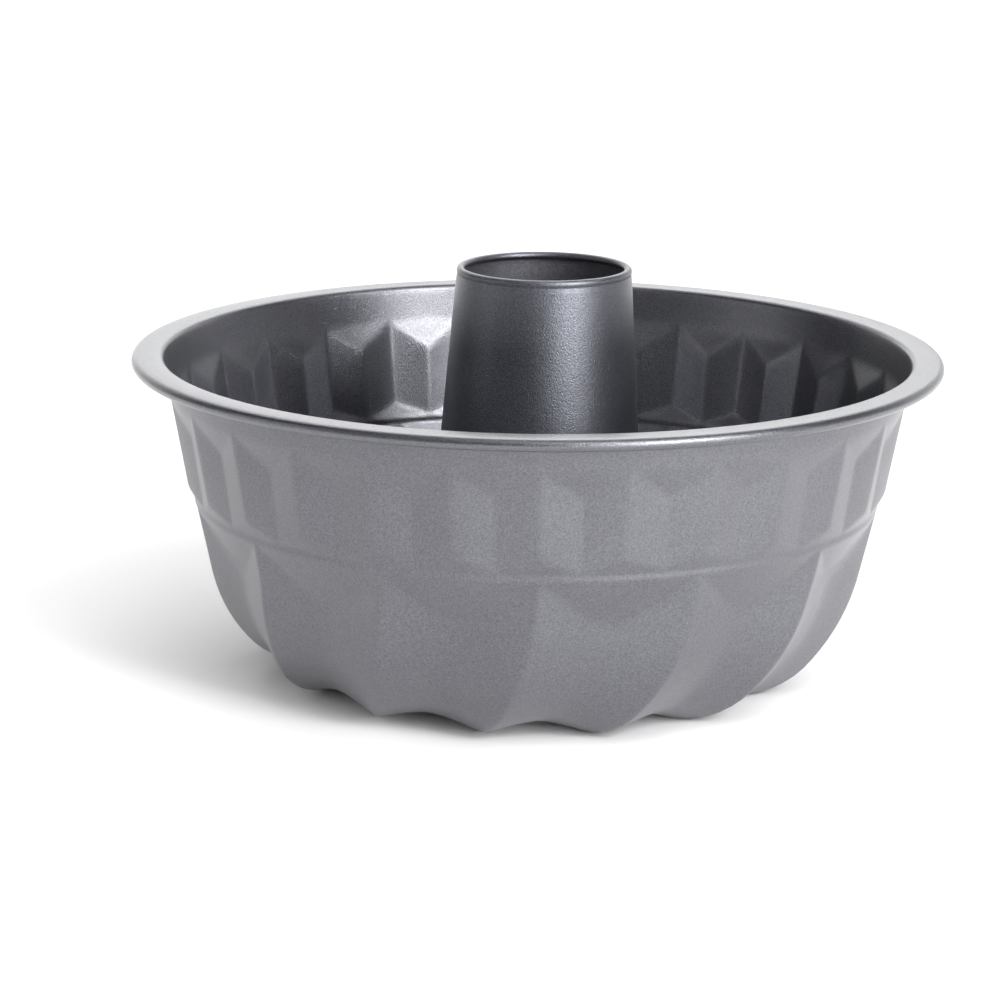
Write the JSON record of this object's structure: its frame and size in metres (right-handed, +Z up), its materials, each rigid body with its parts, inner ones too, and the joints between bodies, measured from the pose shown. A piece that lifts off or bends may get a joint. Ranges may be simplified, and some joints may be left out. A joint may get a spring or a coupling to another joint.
{
  "type": "kugelhopf mould",
  "caption": "Fluted ring-cake mould: a pressed metal bowl with swirled flutes and a curled rim, and a conical centre tube crimped into its floor.",
  "frame": {"origin": "on the axis of the centre tube, in the plane that the crests of the base stand on", "axes": "+Z up along the axis, out of the open top; a crest of the upper flutes faces -Y; the rim is round in X and Y"},
  "size_m": [0.25, 0.25, 0.1274],
  "materials": {
    "body_coating": "dark grey non-stick coating with a fine metallic fleck, satin",
    "tube_coating": "dark grey non-stick coating with a fine metallic fleck, satin"
  },
  "bodies": {
    "root": {"mould_body": "body_coating", "centre_tube": "tube_coating"}
  },
  "joints": []
}
